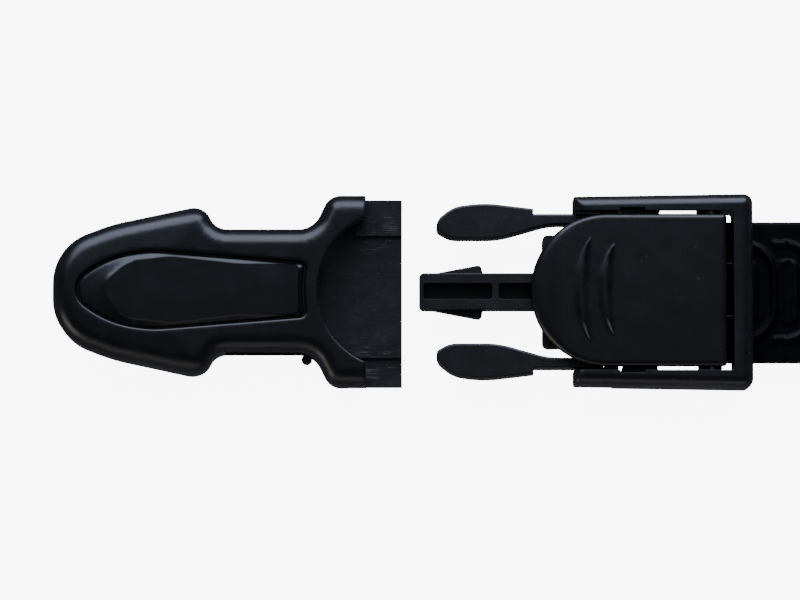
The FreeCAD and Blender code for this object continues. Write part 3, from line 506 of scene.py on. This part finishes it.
RECEIVER_HALF = [  # the +Y half of the receiver's outline, from rear to front
    (COVER.x1, COVER.y1),
    (COVER.x0 + 49.4, COVER.y1, 3.3),
    (COVER.x0 + 46.6, COVER.y1 - WAIST_INSET, 4.3),
    (COVER.x0 + 29.15, COVER.y1 - WAIST_INSET, 3.3),
    (COVER.x0 + 26.85, COVER.y1 - 1.7, 3.3),
    (COVER.x0 + 10.6, COVER.y1 - 5.15, 30.0),
    (COVER.x0, COVER.y1 - 9.15, 9.45),
]


def groove_loop():
    """Where the cover's recess for the inlay ends: a spoon with a slightly hollow end."""
    return rounded(
        mirrored([
            (INLAY.x1 - 0.7, 0.0, 22.0),
            (INLAY.x1 + 0.1, INLAY.y1 - 2.05, 1.3),
            (INLAY.x0 + 13.7, INLAY.y1 + 0.2, 20.8),
            (INLAY.x0 + 5.8, INLAY.y1 - 0.75, 19.0),
            (INLAY.x0 - 0.1, 1.94, 3.7),
        ])[1:],
        0.35,
    )


def cover_top(points, rim, recess):
    """Height of the cover's outside, with its rounded rim and the inlay's recess."""
    x, side = points[:, 0], np.abs(points[:, 1])
    lip = signed_distance(points, recess)
    away = np.clip(lip, 0.0, None)
    crease_x = COVER.x0 + 20.8 + 0.72 * (side - 7.0)
    nose = 1.0 - step_up(x, crease_x - 2.4, crease_x + 2.0)
    height = COVER.z1 + 0.12 - 0.012 * side - nose * 0.06 * np.clip(away - 0.6, 0.0, None)
    height -= edge_drop(distance(points, rim, closed=False), RIM_WIDTH, RIM_HEIGHT)
    arc = np.hypot(x - ARC_X, points[:, 1]) - ARC_RADIUS
    height -= edge_drop(arc, 0.35, 0.3) + edge_drop(COVER.x1 - x, 0.3, 0.3)
    floor = COVER.z1 - RECESS_DEPTH
    height -= 0.12 * (1.0 - step_up(lip, 0.0, 0.3))
    return floor + (height - floor) * step_up(lip, -0.14, 0.06)


def make_cover():
    """Upper shell: crowned roof, soft rim, recess for the inlay, open waist and mouth."""
    recess = groove_loop()
    reach = math.sqrt(ARC_RADIUS ** 2 - (ARC_X - COVER.x1) ** 2)
    angle = math.asin(reach / ARC_RADIUS)
    arc = [
        (ARC_X - ARC_RADIUS * math.cos(t), ARC_RADIUS * math.sin(t))
        for t in np.linspace(-angle, angle, 61)[1:-1]
    ]
    footprint = rounded([(COVER.x1, reach)] + mirrored(RECEIVER_HALF) + [(COVER.x1, -reach)]
                        + arc)
    rim = rounded(mirrored([(COVER.x1 + 20, COVER.y1)] + RECEIVER_HALF[1:]), closed=False)
    creases = []
    for run in offsets(rim, edge_insets(RIM_WIDTH), closed=False):
        run = run[inside(run, footprint)]
        gaps = np.flatnonzero(np.linalg.norm(np.diff(run, axis=0), axis=1) > 1.0)
        creases += [part for part in np.split(run, gaps + 1) if len(part) > 1]
    for radius in (0.1, 0.2, 0.35):
        turns = np.linspace(-angle * 0.985, angle * 0.985, 80)
        wide = ARC_RADIUS + radius
        creases.append(np.column_stack([ARC_X - wide * np.cos(turns), wide * np.sin(turns)]))
    creases += offsets(recess, [0.14, 0.05, -0.06, -0.18, -0.32])
    cover = relief(
        "receiver_cover_shell", footprint, creases, 0.6,
        lambda points: cover_top(points, rim, recess),
        lambda points: np.full(len(points), COVER.z0),
    )
    channel = mirrored([
        (COVER.x1 + 1, COVER.y1 - 2.7), (COVER.x1 - 6.7, COVER.y1 - 2.7, 0.5),
        (COVER.x1 - 6.7, COVER.y1 + 1), (COVER.x0 + 30.8, COVER.y1 + 1),
        (COVER.x0 + 30.8, 6.7, 0.6), (COVER.x0 + 26.5, 6.7, 0.6),
    ])
    combine(cover, prism("channel", rounded(channel), COVER.z0 - 1, CEILING_Z), "DIFFERENCE")
    chamber = mirrored([
        (COVER.x0 + 25.0, COVER.y1 - 4.4, 0.8), (COVER.x0 + 10.6, COVER.y1 - 7.1, 27.9),
        (COVER.x0 + 2.1, COVER.y1 - 10.1, 7.2),
    ])
    combine(cover, prism("chamber", rounded(chamber), COVER.z0 - 1, CEILING_Z), "DIFFERENCE")
    drain = rectangle(COVER.x1 - 3.3, COVER.x1 + 1, COVER.y1 + 1)
    combine(cover, prism("drain", drain, COVER.z0 - 1, COVER.z0 + 0.7), "DIFFERENCE")
    finish_piece(weighed(cover), "receiver", "satin_shell", SHELL, "receiver_cover")
    return recess


def make_inlay(recess):
    """Raised panel with a wide bevel that runs out to a soft point at the nose."""
    edge = offsets(recess, [GROOVE])[0]
    if np.linalg.norm(edge[0] - edge[-1]) < 1e-6:
        edge = edge[:-1]
    plateau = rounded(mirrored([
        (INLAY.x1 - 1.6, INLAY.y1 - 2.75, 0.9),
        (INLAY.x1 - 12.0, INLAY.y1 - 2.6, 30.0),
        (INLAY.x0 + 16.6, INLAY.y1 - 1.3, 14.0),
        (INLAY.x0 + 9.2, INLAY.y1 - 2.0, 6.0),
        (INLAY.x0 + 5.4, 1.7, 2.2),
    ]), 0.35)

    def top(points):
        outer, inner = distance(points, edge), distance(points, plateau)
        share = np.where(inside(points, plateau), 1.0, outer / (outer + inner + 1e-9))
        rise = 0.8 * share + 0.2 * step_up(share, 0.8, 1.0)
        crown = 0.1 * (1.0 - (points[:, 1] / INLAY.y1) ** 2)
        return INLAY.z1 - 0.62 + 0.55 * rise + crown - edge_drop(outer, 0.22, 0.2)

    panel = relief(
        "cover_inlay_panel", edge,
        offsets(edge, [0.05, 0.12, 0.22]) + offsets(plateau, [-0.3, -0.12, 0.0, 0.15]), 0.55,
        top, lambda points: np.full(len(points), INLAY.z0),
    )
    finish_piece(panel, "receiver", "satin_shell", SHELL, "cover_inlay")


def make_base():
    """Floor and tongue, with the moulded corners eased."""
    finish_piece(softened("receiver_base", 0.14), "receiver", "scuffed_base", SCUFFED,
                 "receiver_base")


# ---- plug -----------------------------------------------------------------------------------

GRIPS = ((7.7, 10.1), (11.95, 8.95))  # how far behind the nose, and half the length
GRIP_SWEEP = 3.3
GRIP_WIDTH = 2.4
GRIP_FLANK = 0.8
GRIP_HEIGHT = 0.47
GRIP_TAPER = 1.6
NOSE_SLOPE_X = 6.0
SNAP_REACH = 0.8  # how far the CAD lever's snaps stand out beyond its plate
LEVER_HALF = LEVER.y1 - SNAP_REACH
LEVER_TOP_Z = LEVER.z1 - 0.45
LEVER_CROWN = 0.15
PLATE_THICK = 1.75
LIP_DROP = 0.95
HEEL_RISE = 0.45


def crescent_sides(rows, half):
    """Where a crescent's front and rear edges lie behind its foremost point, at each row."""
    outer = (half ** 2 + GRIP_SWEEP ** 2) / (2 * GRIP_SWEEP)
    sag = GRIP_SWEEP - GRIP_WIDTH
    inner = (half ** 2 + sag ** 2) / (2 * sag)
    return (
        outer - np.sqrt(outer ** 2 - rows ** 2),
        GRIP_WIDTH + inner - np.sqrt(inner ** 2 - rows ** 2),
    )


def crescent_height(points, front, half):
    """A raised crescent open towards +X, with a rounded back and tapering tips."""
    rows = np.abs(points[:, 1])
    left, right = (front + side for side in crescent_sides(np.clip(rows, 0.0, half), half))
    width = np.maximum(right - left, 0.05)
    across = np.clip(np.minimum(points[:, 0] - left, left + width - points[:, 0]), 0.0, None)
    fade = 1.0 - step_up(rows, half - GRIP_TAPER, half)
    return GRIP_HEIGHT * fade * step_up(across, 0.0, GRIP_FLANK)


def make_lever():
    """Crowned plate whose nose dips, with finger ribs above and a barrel, pawl and snaps."""
    outline = rounded(
        mirrored([(LEVER.x1, LEVER_HALF, 0.7), (LEVER.x0, LEVER_HALF, LEVER_HALF - 0.05)]), 0.3
    )

    def top(points):
        x, y = points.T
        fall = np.clip(LEVER.x0 + NOSE_SLOPE_X - x, 0.0, None)
        height = LEVER_TOP_Z + LEVER_CROWN * (1.0 - (y / LEVER_HALF) ** 2)
        height -= 0.2 * fall ** 2 / (fall + 0.8)
        height += sum(
            crescent_height(points, LEVER.x0 + front, length) for front, length in GRIPS
        )
        width = 0.9 + 0.9 * (1.0 - step_up(x, LEVER.x0 + 1.0, LEVER.x0 + 9.0))
        return height - edge_drop(distance(points, outline), width, 0.75)

    def under(points):
        x = points[:, 0]
        lip = 1.0 - step_up(x, LEVER.x0 + 2.6, LEVER.x0 + 5.6)
        heel = step_up(x, LEVER.x1 - 1.7, LEVER.x1 - 1.3)
        ease = edge_drop(distance(points, outline), 0.3, 0.25)
        return LEVER_TOP_Z - PLATE_THICK - LIP_DROP * lip + HEEL_RISE * heel + ease

    creases = offsets(outline, edge_insets(0.9, 6))
    for front, length in GRIPS:
        rows = np.linspace(-length * 0.98, length * 0.98, 60)
        left, right = (front + side for side in crescent_sides(rows, length))
        for share in (0.0, 0.25, 0.5, 0.75, 1.0):
            columns = LEVER.x0 + left + (right - left) * share
            creases.append(np.column_stack([columns, rows]))
    plate = relief("release_lever_plate", outline, creases, 0.55, top, under)
    finish_piece(plate, "lever", "satin_lever", LEVER_SKIN, "release_lever")

    works = softened("release_lever", 0.08)
    works.name = "release_lever_works"
    lid = rectangle(LEVER.x0 - 2, LEVER.x1 + 2, 20, 5.0)
    combine(works, prism("lid", lid, LEVER_TOP_Z - 1.5, LEVER_TOP_Z + 3), "DIFFERENCE")
    nose = rectangle(LEVER.x0 - 2, LEVER.x0 + 20, 20, 5.0)
    combine(works, prism("nose cut", nose, LEVER.z0 - 1, LEVER_TOP_Z), "DIFFERENCE")
    finish_piece(works, "lever", "satin_lever", LEVER_SKIN)


STRAP_THICK = 1.9
STRAP_EDGE = 0.5
STRAP_SLOPE = 0.194
STRAP_APEX_X = 116.1
STRAP_PITCH = 7.4
STRAP_RIB_LENGTH = 7.7
STRAP_RIB_HEIGHT = 0.45
TAIL_X = STRAP.x1 - 4.0
TAIL_CORNER = 2.5


def strap_line():
    """Centre line of the strap in the XZ plane, from the heel end to the tail's end."""
    low = STRAP.z0 + STRAP_THICK / 2
    front = STRAP.x0 + STRAP_THICK / 2
    tail_z, crest_z = low + 2.0, low + 5.1
    bend_x = front + (crest_z - tail_z) / STRAP_SLOPE
    return rounded([
        (STRAP.x1, low), (front, low, 2.15), (front, crest_z, 2.2),
        (bend_x, tail_z, 11.0), (TAIL_X, tail_z),
    ], 0.3, closed=False)


def strap_relief(u, y):
    """Height of the raised arches and ratchet teeth on the strap's outer face."""
    points = np.column_stack([u, y])
    height = np.zeros(len(u))
    for i in range(-3, 2):
        apex = STRAP_APEX_X + i * STRAP_PITCH
        root = apex - STRAP_RIB_LENGTH
        arch = rounded([(root, 8.65), (apex - 0.55, 8.65, 5.9), (apex - 0.55, -8.65, 5.9),
                        (root, -8.65)], closed=False)
        tooth = rounded([(root, -5.9), (root + 4.2, -5.9, 1.8), (root + 4.2, 5.9, 1.8),
                         (root, 5.9)])
        ridge = STRAP_RIB_HEIGHT * step_up(-distance(points, arch, closed=False), -0.85, -0.3)
        ramp = 0.12 + 0.36 * step_up(u, root + 0.6, root + 2.2)
        wedge = ramp * step_up(-signed_distance(points, tooth), 0.0, 0.4)
        height = np.maximum(height, np.maximum(ridge, wedge))
    return height * (1.0 - step_up(u, TAIL_X - 2.5, TAIL_X - 1.5))


def make_strap():
    """Rubber strap doubled round its bar, moulded with arches along the tail."""
    line = strap_line()
    lengths = np.concatenate([[0.0], np.cumsum(np.linalg.norm(np.diff(line, axis=0), axis=1))])
    u = TAIL_X - (lengths[-1] - lengths)
    tangent = np.gradient(line, axis=0)
    tangent /= np.linalg.norm(tangent, axis=1)[:, None]
    normal = np.column_stack([-tangent[:, 1], tangent[:, 0]])
    half, thick = STRAP.y1, STRAP_THICK / 2
    flat = np.linspace(half - STRAP_EDGE, STRAP_EDGE - half, 85)
    bend = np.linspace(0.0, math.pi / 2, 5)[1:-1]
    corner = [(half - STRAP_EDGE * (1 - math.cos(t)), thick - STRAP_EDGE * (1 - math.sin(t)))
              for t in bend]
    outer = [(y, thick) for y in flat]
    right = [(-y, z) for y, z in reversed(corner)]
    side = thick - STRAP_EDGE
    section = np.array(
        outer + right + [(-half, side), (-half, -side)]
        + [(y, -z) for y, z in reversed(right)] + [(-y, -z) for y, z in outer]
        + [(-y, -z) for y, z in right] + [(half, -side), (half, side)] + corner
    )
    count = len(section)
    points, faces = [], []
    for i, (middle, across) in enumerate(zip(line, normal)):
        raised = section.copy()
        rise = strap_relief(np.full(len(flat), u[i]), section[:len(flat), 0])
        raised[:len(flat), 1] += rise
        left = lengths[-1] - lengths[i]
        short = TAIL_CORNER - left
        if short > 0:
            inset = TAIL_CORNER - math.sqrt(TAIL_CORNER ** 2 - short ** 2)
            raised[:, 0] *= (half - inset) / half
        x, z = middle[0] + across[0] * raised[:, 1], middle[1] + across[1] * raised[:, 1]
        points.append(np.column_stack([x, raised[:, 0], z]))
    for i in range(len(line) - 1):
        for j in range(count):
            a, b = i * count + j, i * count + (j + 1) % count
            faces.append((a, b, b + count, a + count))
    last = (len(line) - 1) * count
    faces += [list(reversed(range(count))), [last + j for j in range(count)]]
    strap = mesh_object("strap_band", np.vstack(points), faces)
    finish_piece(strap, "plug", "strap_rubber", RUBBER, "strap")


def make_mouldings():
    """The plug's moulded parts, with eased corners."""
    for node, body, slot, material, width in (
        ("strap_frame", "plug", "satin_lever", RAILS, 0.16),
        ("chassis", "plug", "matte_insert", MATTE, 0.22),
        ("latch_arm_left", "arm_left", "matte_insert", MATTE, 0.1),
        ("latch_arm_right", "arm_right", "matte_insert", MATTE, 0.1),
    ):
        finish_piece(softened(node, width), body, slot, material, node)


def finish_metal():
    """Materials for the steel parts, whose CAD shapes are right."""
    for node, material in (
        ("base_screws", PIN_STEEL), ("chassis_pin", PIN_STEEL), ("strap_bar", PIN_STEEL),
        ("lever_pin", PIN_STEEL), ("stud_clip", WIRE_STEEL),
        ("lever_spring_left", WIRE_STEEL), ("lever_spring_right", WIRE_STEEL),
    ):
        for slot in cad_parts[node].material_slots:
            slot.material = material


# ---- stage ----------------------------------------------------------------------------------

VIEW_CENTRE = Vector((48.45, -1.33, 4.0)) * MM
VIEW_WIDTH = 143.4 * MM
VIEW_DISTANCE = 1.0
VIEW_TILT = math.radians(5.2)
SENSOR = 36.0
FLOOR_GLOW = 8.0
FLOOR_HALF = 900


def make_camera():
    """Looks almost straight down, with a long lens."""
    lens = bpy.data.cameras.new("camera")
    lens.sensor_width = SENSOR
    lens.lens = SENSOR * VIEW_DISTANCE / VIEW_WIDTH
    camera = bpy.data.objects.new("camera", lens)
    offset = Vector((0.0, -math.sin(VIEW_TILT), math.cos(VIEW_TILT))) * VIEW_DISTANCE
    camera.location = VIEW_CENTRE + offset
    camera.rotation_euler = (VIEW_TILT, 0.0, 0.0)
    bpy.context.scene.collection.objects.link(camera)
    bpy.context.scene.camera = camera


def make_floor():
    """Pale sweep that stays bright beside and beneath the buckle."""
    far = FLOOR_HALF
    corners = [(-far, -far, 0), (far, -far, 0), (far, far, 0), (-far, far, 0)]
    floor = mesh_object("floor", corners, [(0, 1, 2, 3)])
    nodes = Nodes("pale floor")
    tone = nodes.span(nodes.noise(3.0), (0.3, 0.7), (0.0, 1.0))
    nodes.link(nodes.colour_mix(tone, (0.9, 0.9, 0.9), (0.93, 0.93, 0.93)),
               nodes.shader.inputs["Base Color"])
    nodes.shader.inputs["Roughness"].default_value = 0.8
    nodes.shader.inputs["Emission Color"].default_value = (1.0, 1.0, 1.0, 1.0)
    nodes.shader.inputs["Emission Strength"].default_value = FLOOR_GLOW
    floor.data.materials.append(nodes.material)
    floor.visible_glossy = False


def add_light(name, place, width, depth, power, colour):
    """A soft rectangular light aimed at the middle of the buckle."""
    lamp = bpy.data.lights.new(name, "AREA")
    lamp.shape, lamp.size, lamp.size_y, lamp.energy = "RECTANGLE", width, depth, power
    lamp.color = colour
    light = bpy.data.objects.new(name, lamp)
    light.location = place
    aim = VIEW_CENTRE - Vector(place)
    light.rotation_euler = aim.to_track_quat("-Z", "Y").to_euler()
    bpy.context.scene.collection.objects.link(light)


def make_lights():
    """A cool soft light from beyond +Y, weak warm ones from -Y and the nose, and a dim room."""
    add_light("far side", (0.05, 0.8, 0.6), 1.5, 0.8, 21.0, (0.7, 0.78, 1.0))
    add_light("near side", (-0.1, -0.85, 0.3), 1.1, 0.5, 1.0, (1.0, 0.96, 0.9))
    add_light("nose side", (-0.75, -0.5, 0.3), 0.5, 0.4, 1.5, (1.0, 0.92, 0.82))
    add_light("ceiling", (0.05, 0.2, 1.3), 0.7, 0.7, 0.2, (0.86, 0.9, 1.0))
    world = bpy.data.worlds.new("studio")
    world.use_nodes = True
    background = world.node_tree.nodes["Background"]
    background.inputs["Color"].default_value = (0.82, 0.87, 1.0, 1.0)
    background.inputs["Strength"].default_value = 0.05
    bpy.context.scene.world = world


make_inlay(make_cover())
make_base()
make_lever()
make_strap()
make_mouldings()
finish_metal()
make_camera()
make_floor()
make_lights()
